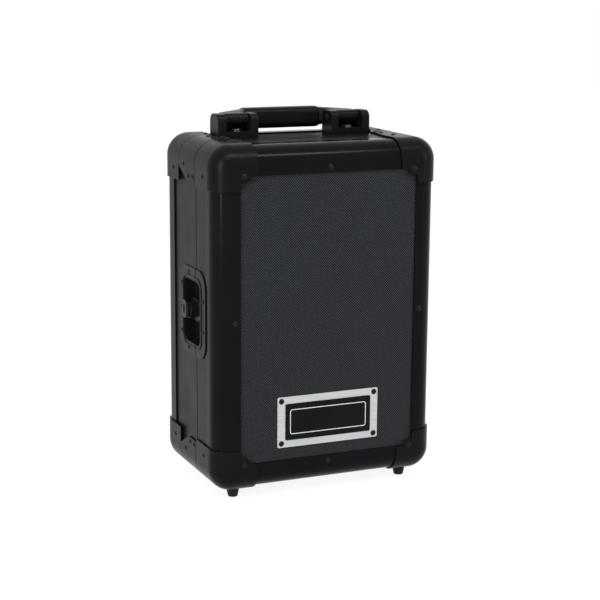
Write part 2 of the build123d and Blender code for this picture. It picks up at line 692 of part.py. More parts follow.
def latch_spindle():
    """Turning hub with ears for the wing, throw cam, bearing disc and riveted tail."""
    x = SPINDLE_FROM_PARTING
    hub_top = LATCH_SHEET + HUB_PROUD
    disc_top = -HUB_UNDER - CAM_THICK
    tail_top = -DISH_DEPTH - LATCH_SHEET - SPINDLE_GAP
    hub = rod((x, 0, -HUB_UNDER), (0, 0, 1), HUB_RADIUS, hub_top + HUB_UNDER)
    spindle = hub + rod((x + CAM_THROW, 0, disc_top), (0, 0, 1), CAM_RADIUS, CAM_THICK)
    spindle += rod((x, 0, disc_top), (0, 0, -1), CAM_DISC_RADIUS, DISH_DEPTH - SPINDLE_GAP + disc_top)
    spindle += rod((x, 0, disc_top), (0, 0, -1), SPINDLE_SHAFT, disc_top - tail_top)
    spindle += rod((x, 0, tail_top), (0, 0, -1), SPINDLE_HEAD, SPINDLE_HEAD_THICK)
    axis_height = wing_axis_height()
    ear_start = WING_KNUCKLE_HALF + WING_EAR_GAP
    ears = rod((x, -HUB_RADIUS + 1, axis_height), (0, 1, 0), WING_KNUCKLE_RADIUS, 2 * HUB_RADIUS - 2)
    ears += span_box(
        (x - WING_KNUCKLE_RADIUS, x + WING_KNUCKLE_RADIUS),
        (-HUB_RADIUS + 1, HUB_RADIUS - 1),
        (hub_top - 1, axis_height),
    )
    gap = WING_KNUCKLE_RADIUS + WING_EAR_GAP
    slot = rod((x, -ear_start, axis_height), (0, 1, 0), gap, 2 * ear_start)
    slot += span_box((x - gap, x + gap), (-ear_start, ear_start), (hub_top, axis_height + gap))
    pin = rod((x, -HUB_RADIUS, axis_height), (0, 1, 0), WING_PIN_RADIUS + HOLE_CLEARANCE, 2 * HUB_RADIUS)
    return spindle + ears - slot - pin


def wing_axis_height():
    """Height of the wing's pin over the case side."""
    return LATCH_SHEET + HUB_PROUD + WING_EAR_GAP + WING_THICK / 2


def latch_wing():
    """Folding wing: knuckle on the pin and a rounded plate with a finger window."""
    x = SPINDLE_FROM_PARTING
    z = wing_axis_height()
    half = WING_THICK / 2
    plate_start = WING_KNUCKLE_RADIUS + 2 * WING_EAR_GAP
    plate_length = WING_REACH - plate_start
    centre = x + (plate_start + WING_REACH) / 2
    outline = RectangleRounded(plate_length, 2 * WING_HALF_WIDTH, WING_END_ROUND)
    plate = extrude(Pos(centre, 0, z - half) * outline, WING_THICK)
    across = (-WING_KNUCKLE_HALF, WING_KNUCKLE_HALF)
    neck = span_box((x, x + plate_start + WING_THICK), across, (z - half, z + half))
    knuckle = rod((x, -WING_KNUCKLE_HALF, z), (0, 1, 0), WING_KNUCKLE_RADIUS, 2 * WING_KNUCKLE_HALF)
    slot = SlotOverall(WING_WINDOW_LENGTH, WING_WINDOW_WIDTH, 90)
    window = extrude(Pos(centre, 0, z - WING_THICK) * slot, 2 * WING_THICK)
    hole = rod((x, -WING_HALF_WIDTH, z), (0, 1, 0), WING_PIN_RADIUS + HOLE_CLEARANCE, 2 * WING_HALF_WIDTH)
    return plate + neck + knuckle - window - hole


def latch_wing_pin():
    """Pin through the ears of the hub and the knuckle of the wing."""
    length = 2 * HUB_RADIUS - 2
    return rod((SPINDLE_FROM_PARTING, -length / 2, wing_axis_height()), (0, 1, 0), WING_PIN_RADIUS, length)


def latch_hook():
    """Hook plate: a yoke round the cam, a tongue across the parting and a lip at its tip."""
    top = -HUB_UNDER - HOOK_CLEARANCE
    low = -HUB_UNDER - CAM_THICK + HOOK_CLEARANCE
    cam = SPINDLE_FROM_PARTING + CAM_THROW
    back = cam + HOOK_PAST_CAM
    yoke = span_face((cam - HOOK_YOKE_FRONT, back), (-HOOK_YOKE_HALF_WIDTH, HOOK_YOKE_HALF_WIDTH))
    tongue = span_face((-HOOK_PAST_PARTING, back), (-HOOK_HALF_WIDTH, HOOK_HALF_WIDTH))
    slot_width = 2 * (CAM_RADIUS + YOKE_CLEARANCE)
    slot = Pos(cam, 0) * RectangleRounded(slot_width, slot_width + 2 * CAM_THROW, slot_width * 0.45)
    plate = extrude(Pos(0, 0, low) * (yoke + tongue - slot), top - low)
    lip = span_box(
        (-HOOK_PAST_PARTING, -HOOK_PAST_PARTING + HOOK_LIP),
        (-HOOK_HALF_WIDTH, HOOK_HALF_WIDTH),
        (low - HOOK_LIP_DROP, low),
    )
    return plate + lip


def latch_place(shape):
    """Move a latch piece from its own frame to the left side of the case."""
    return LATCH_PLANE * shape


def latch_cutout():
    """Room for the dish through rails and boards."""
    outline = latch_outline(LATCH_SHEET + DISH_CLEARANCE)
    return latch_place(Pos(0, 0, -2 * DISH_DEPTH) * extrude(outline, 3 * DISH_DEPTH))


def latch_recess():
    """Room for the dish and the tail of the spindle in the foam."""
    depth = DISH_DEPTH + LATCH_SHEET + SPINDLE_HEAD_THICK + 4 * SPINDLE_GAP + FOAM_CLEARANCE
    outline = latch_outline(LATCH_SHEET + 4 * DISH_CLEARANCE)
    return latch_place(Pos(0, 0, -depth) * extrude(outline, depth + DISH_DEPTH))


def to_case(sites):
    """Rivet sites of the latch in the case's frame."""
    return [
        (tuple(LATCH_PLANE.from_local_coords(Vector(u, v, LATCH_SHEET))), (-1, 0, 0)) for u, v in sites
    ]


def latch_base_sites():
    edge = LATCH_BASE_SIDE - LATCH_RIVET_EDGE
    end = LATCH_TALL / 2 - LATCH_RIVET_EDGE
    spots = [(edge, LATCH_RIVET_LIFT), (edge, -LATCH_RIVET_LIFT), (edge, 0)]
    return to_case(spots + [(LATCH_RIVET_END_AT, end), (LATCH_RIVET_END_AT, -end)])


def latch_lid_sites():
    edge = -LATCH_LID_SIDE + LATCH_RIVET_EDGE
    return to_case([(edge, LATCH_RIVET_LID_LIFT), (edge, -LATCH_RIVET_LID_LIFT)])


def hinge_knuckle(centre_z, low, high):
    """A stretch of hinge barrel, without its bore."""
    return rod((HINGE_AXIS_X, PARTING, centre_z + low), (0, 0, 1), HINGE_KNUCKLE, high - low)


def hinge_bore(centre_z):
    start = (HINGE_AXIS_X, PARTING, centre_z - HINGE_TALL)
    return rod(start, (0, 0, 1), HINGE_PIN + HOLE_CLEARANCE, 2 * HINGE_TALL)


def hinge_leaf_base(centre_z):
    """Leaf on the base with the two outer knuckles."""
    end = HINGE_TALL / 2
    middle = HINGE_MIDDLE_KNUCKLE / 2 + HINGE_KNUCKLE_GAP
    tall = (centre_z - end, centre_z + end)
    leaf = span_box((RIGHT, RIGHT + HINGE_SHEET), (PARTING, PARTING + HINGE_LEAF), tall)
    start = (HINGE_AXIS_X, PARTING, centre_z - middle)
    leaf -= rod(start, (0, 0, 1), HINGE_KNUCKLE + HINGE_NOTCH_CLEARANCE, 2 * middle)
    leaf += hinge_knuckle(centre_z, -end, -middle) + hinge_knuckle(centre_z, middle, end)
    return leaf - hinge_bore(centre_z)


def hinge_leaf_lid(centre_z):
    """Leaf on the lid with the middle knuckle."""
    end = HINGE_TALL / 2
    middle = HINGE_MIDDLE_KNUCKLE / 2
    tall = (centre_z - end, centre_z + end)
    leaf = span_box((RIGHT, RIGHT + HINGE_SHEET), (PARTING - HINGE_LEAF, PARTING), tall)
    for low, high in ((-end - 1, -middle), (middle, end + 1)):
        start = (HINGE_AXIS_X, PARTING, centre_z + low)
        leaf -= rod(start, (0, 0, 1), HINGE_KNUCKLE + HINGE_NOTCH_CLEARANCE, high - low)
    return leaf + hinge_knuckle(centre_z, -middle, middle) - hinge_bore(centre_z)


def hinge_pin(centre_z):
    """Pin with a small head at each end of the barrel."""
    half = HINGE_TALL / 2
    gap = HINGE_KNUCKLE_GAP / 2
    start = (HINGE_AXIS_X, PARTING, centre_z - half - gap)
    end = (HINGE_AXIS_X, PARTING, centre_z + half + gap)
    pin = rod(start, (0, 0, 1), HINGE_PIN, HINGE_TALL + 2 * gap)
    pin += rod(start, (0, 0, -1), HINGE_PIN_HEAD, HINGE_PIN_HEAD_THICK)
    return pin + rod(end, (0, 0, 1), HINGE_PIN_HEAD, HINGE_PIN_HEAD_THICK)


def hinge_notch(centre_z):
    """Room for the barrel in the edges of both rails."""
    half = HINGE_TALL / 2 + HINGE_KNUCKLE_GAP + HINGE_PIN_HEAD_THICK + HINGE_NOTCH_CLEARANCE
    start = (HINGE_AXIS_X, PARTING, centre_z - half)
    return rod(start, (0, 0, 1), HINGE_KNUCKLE + HINGE_NOTCH_CLEARANCE, 2 * half)


def hinge_sites(centre_z, side):
    """Rivets of one leaf: side is -1 for the lid and 1 for the base."""
    y = PARTING + side * HINGE_RIVET_FROM_AXIS
    x = RIGHT + HINGE_SHEET
    return [((x, y, centre_z + lift), (1, 0, 0)) for lift in (-HINGE_RIVET_LIFT, HINGE_RIVET_LIFT)]


def base_foam():
    """Foam block that fills the base, with a pocket for the controller and two finger scoops."""
    edge = LINING + FOAM_CLEARANCE
    x = RIGHT - edge
    start = FRONT + BASE_START + FOAM_CLEARANCE
    end = BACK - edge
    block = span_box((-x, x), (start, end), (BOTTOM + edge, TOP - edge))
    width = 2 * (x - FOAM_WALL)
    height = HEIGHT - 2 * (edge + FOAM_WALL)
    mouth = Plane(origin=(0, start - 1, MIDDLE_Z), x_dir=(1, 0, 0), z_dir=(0, 1, 0))
    pocket = RectangleRounded(width, height, FOAM_POCKET_CORNER)
    block -= extrude(mouth * pocket, end - FOAM_FLOOR - start + 1)
    for side in (-1, 1):
        block -= rod((side * width / 2, start - 1, MIDDLE_Z), (0, 1, 0), FINGER_RADIUS, FINGER_DEPTH + 1)
    return block - latch_recess() - bolt_recesses()


def lid_foam():
    """Foam pad inside the front panel."""
    edge = LINING + FOAM_CLEARANCE
    x = RIGHT - edge
    start = FRONT + edge
    pad = span_box((-x, x), (start, start + LID_PAD), (BOTTOM + edge, TOP - edge))
    return fillet(pad.faces().sort_by(Axis.Y)[-1].edges(), LID_PAD_EDGE)


def bolt_recesses():
    """Room in the base foam for the backing plates and nuts."""
    x = bolt_places()[0][0]
    spread = BOLT_SPREAD + NUT_RADIUS + 2 + 2 * FOAM_CLEARANCE
    low = TOP - ALLOY - BOARD - BACKING_PLATE - NUT_HEIGHT - 2 * FOAM_CLEARANCE
    y = (PIVOT_Y - spread, PIVOT_Y + spread)
    right = span_box((x - spread, x + spread), y, (low, TOP))
    return right + mirror_x(right)


def hinge_heights():
    return {"lower": MIDDLE_Z - HINGE_FROM_MIDDLE, "upper": MIDDLE_Z + HINGE_FROM_MIDDLE}


def side_rail(section):
    """A parting rail up the left side."""
    start = (-RIGHT, FRONT, BOTTOM + CORNER_BLOCK)
    return run_section(section, start, (1, 0, 0), (0, 0, 1), HEIGHT - 2 * CORNER_BLOCK)


def end_rail(section):
    """A parting rail across the top."""
    start = (-RIGHT + CORNER_BLOCK, FRONT, TOP)
    return run_section(section, start, (0, 0, -1), (1, 0, 0), WIDTH - 2 * CORNER_BLOCK)


def lid_shell():
    """Boards, frame bars, rails and posts of the lid, left and top pieces only."""
    start = BOARD_SETBACK
    end = LID_END - RAIL_WEB
    return {
        "side_board": side_board(start, end),
        "end_board": end_board(start, end),
        "side_edge": upright_frame_bar(edge_section(SIDE_MARGIN, RETURN_FLANGE)),
        "end_edge": level_frame_bar(edge_section(END_MARGIN, RETURN_FLANGE)),
        "side_rail": side_rail(lid_rail_section()),
        "end_rail": end_rail(lid_rail_section()),
        "post": corner_post(CORNER_BLOCK, LID_END),
    }


def base_shell():
    """Boards, frame bars, rails and posts of the base, left and top pieces only."""
    start = BASE_START + RAIL_WEB
    end = DEPTH - BOARD_SETBACK
    return {
        "side_board": side_board(start, end),
        "end_board": end_board(start, end),
        "side_edge": mirror_y(upright_frame_bar(edge_section(SIDE_MARGIN, RETURN_FLANGE))),
        "end_edge": mirror_y(level_frame_bar(edge_section(END_MARGIN, RETURN_FLANGE))),
        "side_rail": side_rail(base_rail_section()),
        "end_rail": end_rail(base_rail_section()),
        "post": corner_post(BASE_START, DEPTH - CORNER_BLOCK),
    }


def parting_rails(side, end):
    """The four rails of one half, cut for the latch on the left and the hinges on the right."""
    right = mirror_x(side)
    for height in hinge_heights().values():
        right -= hinge_notch(height)
    return [side - latch_cutout(), right, end, mirror_z(end)]


def lid_nodes(sites, screws, plate_sites):
    """All nodes of the lid's shell, drilled for their rivets."""
    cutout = latch_cutout()
    shell = lid_shell()
    rails = parting_rails(shell["side_rail"], shell["end_rail"])
    plate_hole = PLATE_RIVET_SHANK + HOLE_CLEARANCE
    nodes = {
        "front_panel": drill(face_board(), plate_sites, plate_hole, PLATE_RIVET_BITE + HOLE_CLEARANCE),
        "lid_left_board": shell["side_board"] - cutout,
        "lid_right_board": mirror_x(shell["side_board"]),
        "lid_top_board": shell["end_board"],
        "lid_bottom_board": mirror_z(shell["end_board"]),
        "lid_left_edge": shell["side_edge"],
        "lid_right_edge": mirror_x(shell["side_edge"]),
        "lid_top_edge": shell["end_edge"],
        "lid_bottom_edge": mirror_z(shell["end_edge"]),
    }
    corner = ball_corner(CORNER_REACH, LID_END)
    for name, piece in zip(CORNER_NAMES, four_corners(corner)):
        nodes["front_corner_" + name] = piece
    nodes = {name: drill_all(piece, sites, screws) for name, piece in nodes.items()}
    nodes["lid_parting_rails"] = group([drill_all(rail, sites, screws) for rail in rails])
    nodes["lid_corner_posts"] = group(four_corners(shell["post"]))
    return nodes


def base_nodes(sites, screws):
    """All nodes of the base's shell, drilled for their rivets and bolts."""
    cutout = latch_cutout()
    shell = base_shell()
    rails = parting_rails(shell["side_rail"], shell["end_rail"])
    nodes = {
        "back_panel": mirror_y(face_board()),
        "base_left_board": shell["side_board"] - cutout,
        "base_right_board": mirror_x(shell["side_board"]),
        "base_top_board": drill_bolts(shell["end_board"]),
        "base_bottom_board": mirror_z(shell["end_board"]),
        "base_left_edge": shell["side_edge"],
        "base_right_edge": mirror_x(shell["side_edge"]),
        "base_top_edge": shell["end_edge"],
        "base_bottom_edge": mirror_z(shell["end_edge"]),
    }
    corner = mirror_y(ball_corner(REAR_CORNER_REACH, REAR_CORNER_LENGTH))
    for name, piece in zip(CORNER_NAMES, four_corners(corner)):
        nodes["rear_corner_" + name] = piece
    nodes = {name: drill_all(piece, sites, screws) for name, piece in nodes.items()}
    nodes["base_parting_rails"] = group([drill_all(rail, sites, screws) for rail in rails])
    nodes["base_corner_posts"] = group(four_corners(shell["post"]))
    plates = four_corners(middle_plate())
    nodes["middle_corner_plates"] = group([drill_all(plate, sites, screws) for plate in plates])
    return nodes


def drill_all(shape, sites, screws):
    """Rivet holes and foot screw holes of one piece."""
    shape = drill(shape, sites, RIVET_SHANK + HOLE_CLEARANCE, RIVET_BITE + HOLE_CLEARANCE)
    return drill(shape, screws, FOOT_SCREW_SHANK + HOLE_CLEARANCE, RIVET_BITE + HOLE_CLEARANCE)


def handle_nodes():
    """Brackets, pins, grip, bolts, nuts and backing plates of the handle."""
    bracket = drill_bolts(handle_bracket())
    plate = drill_bolts(backing_plate())
    bolts = [handle_bolt(x, y) for x, y in bolt_places()]
    nuts = [handle_nut(x, y) for x, y in bolt_places()]
    return {
        "handle_bracket_left": mirror_x(bracket),
        "handle_bracket_right": bracket,
        "handle_pins": group([handle_pin(), mirror_x(handle_pin())]),
        "handle_grip": handle_grip(),
        "handle_bolts": group(bolts + [mirror_x(bolt) for bolt in bolts]),
        "handle_nuts": group(nuts + [mirror_x(nut) for nut in nuts]),
        "handle_backing_plates": group([plate, mirror_x(plate)]),
    }


def latch_nodes(lid_sites, base_sites):
    """The butterfly latch on the left side."""
    lid_half, base_half = latch_halves()
    return {
        "latch_keeper": drill_all(latch_place(lid_half), lid_sites, []),
        "latch_dish": drill_all(latch_place(base_half), base_sites, []),
        "latch_spindle": latch_place(latch_spindle()),
        "latch_wing": latch_place(latch_wing()),
        "latch_wing_pin": latch_place(latch_wing_pin()),
        "latch_hook": latch_place(latch_hook()),
    }


def hinge_nodes(lid_sites, base_sites):
    """Two hinges on the right side."""
    nodes = {}
    for name, z in hinge_heights().items():
        nodes[name + "_hinge_lid_leaf"] = drill_all(hinge_leaf_lid(z), lid_sites, [])
        nodes[name + "_hinge_base_leaf"] = drill_all(hinge_leaf_base(z), base_sites, [])
    nodes["hinge_pins"] = group([hinge_pin(z) for z in hinge_heights().values()])
    return nodes


def build():
    """Every node of the case, by name."""
    front_corner_sites = four_corner_sites(ball_corner_sites())
    back = (1, -1, 1)
    lid_hinge_sites = [site for z in hinge_heights().values() for site in hinge_sites(z, -1)]
    base_hinge_sites = [site for z in hinge_heights().values() for site in hinge_sites(z, 1)]
    lid_sites = front_corner_sites + frame_sites() + lid_hinge_sites + latch_lid_sites()
    base_sites = mirrored_sites(front_corner_sites + frame_sites(), back) + base_hinge_sites
    base_sites += four_corner_sites(middle_plate_sites()) + latch_base_sites()
    front_feet = foot_sites()
    rear_feet = mirrored_sites(front_feet, back)
    plate, inset, plate_sites = name_plate()
    small = RIVET_SHANK, RIVET_HEAD, RIVET_DOME, RIVET_BITE
    plate_rivet = rivet(PLATE_RIVET_SHANK, PLATE_RIVET_HEAD, PLATE_RIVET_DOME, PLATE_RIVET_BITE)
    feet = [Pos(*point) * foot() for point, normal in front_feet + rear_feet]
    screws = [Pos(*point) * foot_screw() for point, normal in front_feet + rear_feet]
    nodes = lid_nodes(lid_sites, front_feet, plate_sites)
    nodes |= base_nodes(base_sites, rear_feet)
    nodes |= handle_nodes() | latch_nodes(lid_sites, base_sites) | hinge_nodes(lid_sites, base_sites)
    nodes["name_plate"] = drill(plate, plate_sites, PLATE_RIVET_SHANK + HOLE_CLEARANCE, PLATE_RIVET_BITE)
    nodes["name_plate_inset"] = inset
    nodes["name_plate_rivets"] = group(place_rivets(plate_rivet, plate_sites))
    nodes["lid_rivets"] = group(place_rivets(rivet(*small), lid_sites))
    nodes["base_rivets"] = group(place_rivets(rivet(*small), base_sites))
    nodes["front_feet"] = group(feet[:2])
    nodes["rear_feet"] = group(feet[2:])
    nodes["front_foot_screws"] = group(screws[:2])
    nodes["rear_foot_screws"] = group(screws[2:])
    nodes["lid_foam"] = lid_foam()
    nodes["base_foam"] = base_foam()
    return nodes


os.makedirs("parts", exist_ok=True)
for node_name, node_shape in build().items():
    export_step(node_shape, os.path.join("parts", node_name + ".step"))
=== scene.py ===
"""Looks of a small upright flight case: finishes, foam lining, trim, lights and camera."""

import math

import bpy
from mathutils import Matrix, Vector


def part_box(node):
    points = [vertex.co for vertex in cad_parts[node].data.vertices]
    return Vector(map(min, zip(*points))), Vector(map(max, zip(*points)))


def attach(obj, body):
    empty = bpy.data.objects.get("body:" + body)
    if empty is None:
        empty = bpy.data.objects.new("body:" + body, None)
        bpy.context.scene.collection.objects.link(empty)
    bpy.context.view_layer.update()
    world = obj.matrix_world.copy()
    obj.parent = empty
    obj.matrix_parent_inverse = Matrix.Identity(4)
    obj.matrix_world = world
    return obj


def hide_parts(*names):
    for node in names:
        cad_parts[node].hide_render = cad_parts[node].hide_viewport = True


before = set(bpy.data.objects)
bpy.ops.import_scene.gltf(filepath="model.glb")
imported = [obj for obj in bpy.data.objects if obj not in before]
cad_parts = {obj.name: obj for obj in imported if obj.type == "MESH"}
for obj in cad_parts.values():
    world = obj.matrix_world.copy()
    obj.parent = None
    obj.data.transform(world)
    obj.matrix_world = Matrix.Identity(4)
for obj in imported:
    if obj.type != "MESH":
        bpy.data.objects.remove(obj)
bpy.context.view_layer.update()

bl_info = {
    "name": "Flight Case Looks",
    "version": (1, 0, 0),
    "blender": (4, 5, 0),
    "location": "View3D > Sidebar > Flight Case",
    "description": "Finishes, foam lining, trim and studio for a small upright flight case",
    "category": "Object",
}

MM = 0.001

# Camera fitted to the photograph
CAMERA_TURN = math.radians(23.764)
CAMERA_DROP = math.radians(11.970)
CAMERA_ROLL = math.radians(0.444)
CAMERA_AIM = Vector((-0.02589, -0.06265, 0.1914))
CAMERA_DISTANCE = 1.4913
CAMERA_LENS = 93.83
CAMERA_SENSOR = 36.0

# Place of each studio lamp in metres, with its width and height
LAMPS = {
    "key": ((-2.0, -1.0, 0.7), (0.12, 1.6)),
    "fill": ((1.7, -1.4, 0.8), (0.25, 1.4)),
    "top": ((0.0, -0.9, 1.9), (1.8, 0.25)),
}
LAMP_AIM = Vector((0, 0, 0.18))
FLOOR_SIZE = 60.0
FLOOR_DROP = 0.2 * MM
FLOOR_TONE = 0.85
WHITE = (1, 1, 1, 1)

# Steps of the rounded shapes
OUTLINE_CORNER_STEPS = 8
BEAD_CORNER_STEPS = 10
BEAD_ROUND_STEPS = 3

# Form of the lid's foam; its border lies below the peaks by a share of their height
FACES_PER_WAVE = 8
LEAST_WAVES = 2
BORDER_DROP = 0.35

# Easing of the base foam's edges
EASE_FACTOR = 0.5
EASE_PASSES = 3

# How near two points count as one, and how near a point counts as on a face
MERGE_REACH = 0.001 * MM
FACE_REACH = 0.1 * MM

# Ranges that patterns and noises are read over or mapped to
WHOLE = (0.0, 1.0)
HALF = (0.0, 0.5)
NOISE_BAND = (0.3, 0.7)
TONE_BAND = (0.35, 0.65)
DOT_BAND = (0.0, 0.8)
PIT_BAND = (0.1, 0.7)

# Words that make up the nodes' names
SIDES = ("left", "right", "top", "bottom")
CORNERS = ("bottom_left", "bottom_right", "top_left", "top_right")
HALVES = ("lid", "base")

# Nodes that share a finish
PANELS = ["front_panel", "back_panel"]
SIDE_BOARDS = [f"{half}_{side}_board" for half in HALVES for side in SIDES]
EDGES = [f"{half}_{side}_edge" for half in HALVES for side in SIDES]
RAILS = [f"{half}_{part}" for half in HALVES for part in ("parting_rails", "corner_posts")]
CORNER_SHELLS = [f"{end}_corner_{corner}" for end in ("front", "rear") for corner in CORNERS]
CORNER_PIECES = CORNER_SHELLS + ["middle_corner_plates"]
HINGE_LEAVES = [f"{place}_hinge_{half}_leaf" for place in ("upper", "lower") for half in HALVES]
RIVETS = ["lid_rivets", "base_rivets", "name_plate_rivets"]
LATCH_SHEETS = ["latch_dish", "latch_keeper"]
LATCH_WORKS = ["latch_spindle", "latch_wing", "latch_hook"]
MOULDINGS = ["handle_grip", "handle_bracket_left", "handle_bracket_right"]
STEEL = ["front_foot_screws", "rear_foot_screws", "handle_bolts", "handle_nuts", "handle_backing_plates",
         "handle_pins", "hinge_pins", "latch_wing_pin"]
FEET = ["front_feet", "rear_feet"]


def colour(name, description, default):
    """A colour that a user can change."""
    return bpy.props.FloatVectorProperty(
        name=name, description=description, default=default, size=3, min=0, max=1, subtype="COLOR")


def length(name, description, default):
    """A length that a user can change, in metres."""
    return bpy.props.FloatProperty(name=name, description=description, default=default, unit="LENGTH")


def share(name, description, default, least=0.0):
    """A share, up to the whole, that a user can change."""
    return bpy.props.FloatProperty(
        name=name, description=description, default=default, min=least, max=1, subtype="FACTOR")


def power(name, description, default):
    """A lamp's power that a user can change, in watts."""
    return bpy.props.FloatProperty(
        name=name, description=description, default=default, min=0, unit="POWER")


class CaseColours(bpy.types.PropertyGroup):
    """Colours of the case's finishes."""

    board: colour("Board", "Ground of the laminate", (0.0068, 0.0080, 0.0096))
    # Painted highlight: the lighter colour of the panels' raised dots stands in for the light they catch on
    # black laminate.
    dot_highlight: colour("Dimple", "Raised dots of the panels' laminate", (0.060, 0.066, 0.072))
    frame_black: colour("Frame", "Coating of the alloy frame", (0.0036, 0.0042, 0.0052))
    corner_black: colour("Corner", "Powder coat of the corners", (0.0044, 0.0051, 0.0060))
    fitting: colour("Fitting", "Coating of latch and hinges", (0.0075, 0.0080, 0.0090))
    plastic: colour("Plastic", "Moulded handle", (0.0055, 0.0060, 0.0070))
    rivet: colour("Rivet", "Rivet heads", (0.0070, 0.0070, 0.0080))
    steel: colour("Steel", "Blackened pins and screws", (0.06, 0.06, 0.065))
    silver: colour("Silver", "Plate on the front", (0.47, 0.49, 0.49))
    window: colour("Window", "Dark window of the plate", (0.006, 0.006, 0.007))
    outline: colour("Outline", "Thin printed line round the window", (0.60, 0.61, 0.62))
    rubber: colour("Rubber", "Feet", (0.010, 0.010, 0.011))
    foam: colour("Foam", "Foam lining", (0.030, 0.031, 0.034))


class CaseSizes(bpy.types.PropertyGroup):
    """Sizes of the trim, the foam and the surface patterns."""

    dimple_pitch: length("Dimple pitch", "Spacing of the laminate's dots along a row", 2.5 * MM)
    dimple_depth: length("Dimple depth", "Height of the laminate's raised dots", 0.12 * MM)
    wave_pitch: length("Foam wave", "Distance between the peaks of the lid's foam", 23 * MM)
    wave_depth: length("Foam depth", "Height of the peaks of the lid's foam", 11 * MM)
    foam_voxel: length("Foam voxel", "Grain of the base foam's mesh", 2.4 * MM)
    foam_inset: length("Foam inset", "How far the foam stays inside its CAD space", 0.4 * MM)
    outline_width: length("Outline width", "Width of the printed line", 0.8 * MM)
    outline_across: length("Outline across", "Outer width of the printed outline", 80.6 * MM)
    outline_up: length("Outline up", "Outer height of the printed outline", 24.8 * MM)
    outline_corner: length("Outline corner", "Corner radius of the printed outline", 2.6 * MM)
    outline_height: length("Outline height", "How far the printed line stands proud", 0.08 * MM)
    bead_radius: length("Bead radius", "Radius of the bead round the latch's dish", 0.9 * MM)
    bead_side: length("Bead side", "From the latch plates' long sides to the bead", 10.6 * MM)
    bead_end: length("Bead end", "From the latch plates' ends to the bead", 8.6 * MM)
    bead_shift: length("Bead shift", "How far the bead sits forward of the plates' middle", 0.5 * MM)
    bead_corner: length("Bead corner", "Corner radius of the bead's path", 11 * MM)
    wave_border: share("Foam border", "Level border of the lid's foam, as a share of a wave", 0.5, least=0.1)


class CaseStage(bpy.types.PropertyGroup):
    """Studio light levels."""

    ambient: share("Ambient", "Level of the soft light from all sides", 0.42)
    key_power: power("Key", "Power of the tall lamp at the left", 32.0)
    fill_power: power("Fill", "Power of the tall lamp at the right", 10.0)
    top_power: power("Top", "Power of the long lamp overhead", 24.0)
    floor_glow: share("Floor glow", "Evenly lit share of the floor that the camera sees", 0.90)
    shadow: share("Shadow", "Share of the floor's own shading that the camera sees", 0.30)


class Nodes:
    """The node tree of a material or a world, with short calls to add and join its nodes."""

    def __init__(self, owner):
        self.owner = owner
        owner.use_nodes = True
        self.tree = owner.node_tree
        self.tree.nodes.clear()

    def add(self, kind, **inputs):
        """Adds a node; each input is a value or the socket that feeds it."""
        node = self.tree.nodes.new(kind)
        for key, value in inputs.items():
            self.feed(node.inputs[key.replace("_", " ")], value)
        return node

    def feed(self, socket, value):
        """Joins a socket to another one, or sets its value."""
        if isinstance(value, bpy.types.NodeSocket):
            self.tree.links.new(value, socket)
        else:
            socket.default_value = value

    def coords(self):
        """The piece's own coordinates, which every pattern is drawn on."""
        return self.add("ShaderNodeTexCoord").outputs["Object"]

    def calculate(self, operation, *values):
        """A sum, product or the like of one or two values."""
        node = self.tree.nodes.new("ShaderNodeMath")
        node.operation = operation
        for socket, value in zip(node.inputs, values):
            self.feed(socket, value)
        return node.outputs[0]

    def noise(self, scale, detail=3.0, stretch=None):
        """Noise with its scale in cells per metre, stretched along an axis where asked."""
        vector = self.coords()
        if stretch:
            vector = self.add("ShaderNodeMapping", Vector=vector, Scale=stretch).outputs["Vector"]
        return self.add("ShaderNodeTexNoise", Vector=vector, Scale=scale, Detail=detail).outputs["Fac"]

    def span(self, value, given, wanted):
        """Maps a range of a value to another range, held at its ends."""
        node = self.add("ShaderNodeMapRange", Value=value, From_Min=given[0], From_Max=given[1],
                        To_Min=wanted[0], To_Max=wanted[1])
        return node.outputs["Result"]

    def mix(self, factor, first, second):
        """A mix of two colours."""
        node = self.tree.nodes.new("ShaderNodeMix")
        node.data_type = "RGBA"
        self.feed(node.inputs["Factor"], factor)
        self.feed(node.inputs["A"], first)
        self.feed(node.inputs["B"], second)
        return node.outputs["Result"]

    def bump(self, height, distance, strength, normal=None):
        """A relief of fine height, on top of another one where asked."""
        node = self.add("ShaderNodeBump", Height=height, Distance=distance, Strength=strength)
        if normal:
            self.feed(node.inputs["Normal"], normal)
        return node.outputs["Normal"]

    def surface(self, base, roughness, normal, specular, metallic=0.0):
        """Ends the tree with one shader, and gives back the finished material."""
        shader = self.add("ShaderNodeBsdfPrincipled", Base_Color=base, Roughness=roughness, Normal=normal,
                          Specular_IOR_Level=specular, Metallic=metallic)
        return self.close(shader, "ShaderNodeOutputMaterial")

    def close(self, shader, output):
        """Joins the last shader to a new output."""
        self.add(output, Surface=shader.outputs[0])
        return self.owner


def new_material(name):
    """The empty nodes of a new material."""
    return Nodes(bpy.data.materials.new(name))


def shade(value, factor=1.0):
    """A colour made lighter or darker, with alpha."""
    return tuple(min(1.0, channel * factor) for channel in value) + (1.0,)


def worn_colour(nodes, base, spread, scale):
    """A base colour with broad, faint changes of tone."""
    tone = nodes.span(nodes.noise(scale), TONE_BAND, WHOLE)
    return nodes.mix(tone, shade(base, 1 - spread), shade(base, 1 + spread))


def uneven_roughness(nodes, limits, scale, detail=3.0):
    """A roughness that wanders between two limits."""
    return nodes.span(nodes.noise(scale, detail), NOISE_BAND, limits)


def fine_grain(nodes, scale, depth, normal=None):
    """The fine grain of a coating or a moulding."""
    return nodes.bump(nodes.noise(scale, detail=2.0), depth, strength=0.6, normal=normal)


